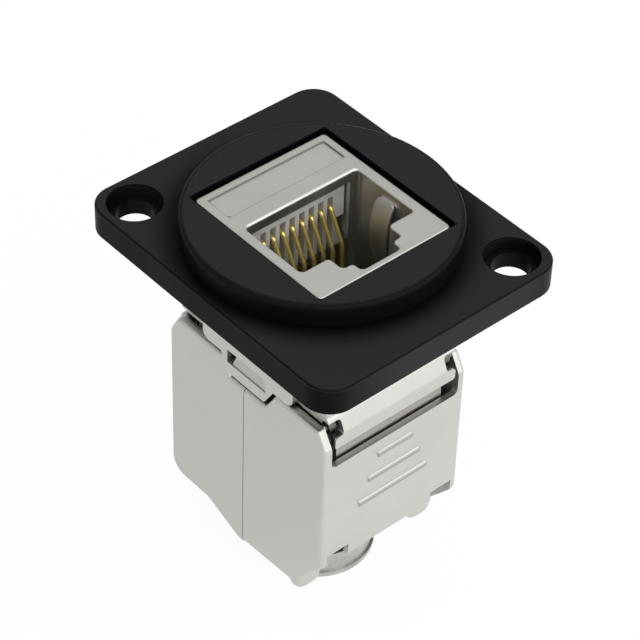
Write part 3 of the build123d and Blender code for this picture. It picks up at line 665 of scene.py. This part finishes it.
def light_paths(sheet):
    """Whether a ray comes from the eye, from a mirror or through glass: 1 or 0 each."""
    names = ("Is Camera Ray", "Is Glossy Ray", "Is Transmission Ray")
    return [sheet.add("ShaderNodeLightPath", output=name) for name in names]


def floor_material(look):
    """A pale floor that looks white and keeps a soft shadow."""
    sheet = new_sheet("pale_floor")
    cloud = sheet.noise(look.floor_cloud, detail=2.0, roughness=0.5)
    tint = sheet.blend(
        cloud.ramp(NOISE_LOW, NOISE_HIGH), look.floor_tint, darker(look.floor_tint, keep=0.985)
    )
    matt = sheet.add("ShaderNodeBsdfDiffuse", values={"Color": tint, "Roughness": 0.0}, output="BSDF")
    across, along, _ = sheet.axes()
    ahead = across * BRIGHT_SIDE[0] + along * BRIGHT_SIDE[1]
    bright = ahead.ramp(-look.floor_turn, look.floor_turn, look.floor_far, look.floor_near)
    eye, mirror, glass = light_paths(sheet)
    seen = sheet.blend(1.0 - mirror * (1.0 - bright), (0.0, 0.0, 0.0), (1.0, 1.0, 1.0))
    white = sheet.add("ShaderNodeEmission", values={"Color": seen, "Strength": look.floor_glow})
    share_white = eye.largest(mirror).largest(glass) * look.floor_shine
    mixed = sheet.add("ShaderNodeMixShader", values={0: share_white, 1: matt, 2: white})
    sheet.add_output("ShaderNodeOutputMaterial", mixed)
    return sheet.owner


def daylight(look):
    """Even light from all round, seen as white."""
    world = bpy.data.worlds.new("studio_daylight")
    sheet = Sheet(world)
    eye, mirror, glass = light_paths(sheet)
    strength = eye.largest(glass).largest(mirror * look.sky_shine).largest(look.daylight)
    white = sheet.add("ShaderNodeBackground", values={"Color": (1.0, 1.0, 1.0), "Strength": strength})
    sheet.add_output("ShaderNodeOutputWorld", white)
    bpy.context.scene.world = world


def add_floor(look):
    """A thin round slab just below the object."""
    bpy.ops.object.select_all(action="DESELECT")
    top = cad_box[0].z - look.floor_gap
    bpy.ops.mesh.primitive_circle_add(
        vertices=FLOOR_SIDES, radius=look.floor_radius, fill_type="NGON", location=(0, 0, top)
    )
    floor = bpy.context.object
    floor.name = "stage_floor"
    bpy.ops.object.mode_set(mode="EDIT")
    bpy.ops.mesh.select_all(action="SELECT")
    bpy.ops.mesh.extrude_region_move(TRANSFORM_OT_translate={"value": (0, 0, -look.floor_thickness)})
    bpy.ops.mesh.select_all(action="SELECT")
    bpy.ops.mesh.normals_make_consistent(inside=False)
    bpy.ops.object.mode_set(mode="OBJECT")
    bpy.ops.object.transform_apply(location=True, rotation=True, scale=True)
    floor.data.materials.append(floor_material(look))


def add_lamp(look, target):
    """A large softbox that looks at the object's middle."""
    turn, rise = look.lamp_turn, look.lamp_rise
    away = Vector((math.sin(turn) * math.cos(rise), -math.cos(turn) * math.cos(rise), math.sin(rise)))
    lamp = bpy.data.lights.new("key_softbox", "AREA")
    lamp.shape = "SQUARE"
    lamp.size = look.lamp_size
    lamp.energy = look.lamp_power
    holder = bpy.data.objects.new("key_softbox", lamp)
    bpy.context.scene.collection.objects.link(holder)
    holder.location = target + away * look.lamp_distance
    holder.rotation_euler = (-away).to_track_quat("-Z", "Y").to_euler()


def add_camera(look):
    """The photograph's view: from the front and above, with a long lens."""
    turn, dip, roll = look.camera_turn, look.camera_dip, look.camera_roll
    ahead = Vector((math.sin(turn) * math.cos(dip), math.cos(turn) * math.cos(dip), -math.sin(dip)))
    level = ahead.cross(Vector((0, 0, 1))).normalized()
    upright = level.cross(ahead)
    right = level * math.cos(roll) + upright * math.sin(roll)
    up = upright * math.cos(roll) - level * math.sin(roll)
    data = bpy.data.cameras.new("photo_camera")
    data.sensor_width = SENSOR_WIDTH_MM
    data.lens = look.camera_lens
    data.clip_start = CLIP_NEAR
    data.clip_end = CLIP_FAR
    camera = bpy.data.objects.new("photo_camera", data)
    bpy.context.scene.collection.objects.link(camera)
    turned = Matrix((right, up, -ahead)).transposed().to_4x4()
    turned.translation = -ahead * look.camera_distance - right * look.camera_right - up * look.camera_up
    camera.matrix_world = turned
    bpy.context.scene.camera = camera


class JACK_OT_stage(bpy.types.Operator):
    """Adds the floor, the daylight, the lamp and the camera"""

    bl_idname = "jack.stage"
    bl_label = "Stage"

    def execute(self, context):
        look = context.scene.jack_stage
        add_floor(look)
        daylight(look)
        add_lamp(look, (cad_box[0] + cad_box[1]) / 2)
        add_camera(look)
        context.scene.view_settings.view_transform = "Standard"
        return {"FINISHED"}


class JACK_PT_panel(bpy.types.Panel):
    """Lists the finishes and the stage"""

    bl_idname = "JACK_PT_panel"
    bl_label = "Network jack"
    bl_space_type = "VIEW_3D"
    bl_region_type = "UI"
    bl_category = "Jack"

    def draw(self, context):
        for operator, group in OPERATORS:
            column = self.layout.column(align=True)
            column.operator(operator.bl_idname)
            look = getattr(context.scene, group)
            for name in look.__annotations__:
                column.prop(look, name)


OPERATORS = [
    (JACK_OT_castings, "jack_casting"),
    (JACK_OT_flange, "jack_flange"),
    (JACK_OT_springs, "jack_spring"),
    (JACK_OT_plastics, "jack_plastic"),
    (JACK_OT_contacts, "jack_contact"),
    (JACK_OT_stage, "jack_stage"),
]
GROUPS = {
    "jack_casting": JackCastingFinish,
    "jack_flange": JackFlangeFinish,
    "jack_spring": JackSpringFinish,
    "jack_plastic": JackPlasticFinish,
    "jack_contact": JackContactFinish,
    "jack_stage": JackStage,
}


def register():
    """Makes the groups, operators and panel known to Blender."""
    for name, group in GROUPS.items():
        bpy.utils.register_class(group)
        setattr(bpy.types.Scene, name, PointerProperty(type=group))
    for operator, _ in OPERATORS:
        bpy.utils.register_class(operator)
    bpy.utils.register_class(JACK_PT_panel)


def unregister():
    """Takes them away again."""
    bpy.utils.unregister_class(JACK_PT_panel)
    for operator, _ in reversed(OPERATORS):
        bpy.utils.unregister_class(operator)
    for name, group in reversed(GROUPS.items()):
        delattr(bpy.types.Scene, name)
        bpy.utils.unregister_class(group)


def main():
    """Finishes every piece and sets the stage."""
    register()
    for operator, _ in OPERATORS:
        family, name = operator.bl_idname.split(".")
        getattr(getattr(bpy.ops, family), name)()


if __name__ == "__main__":
    main()
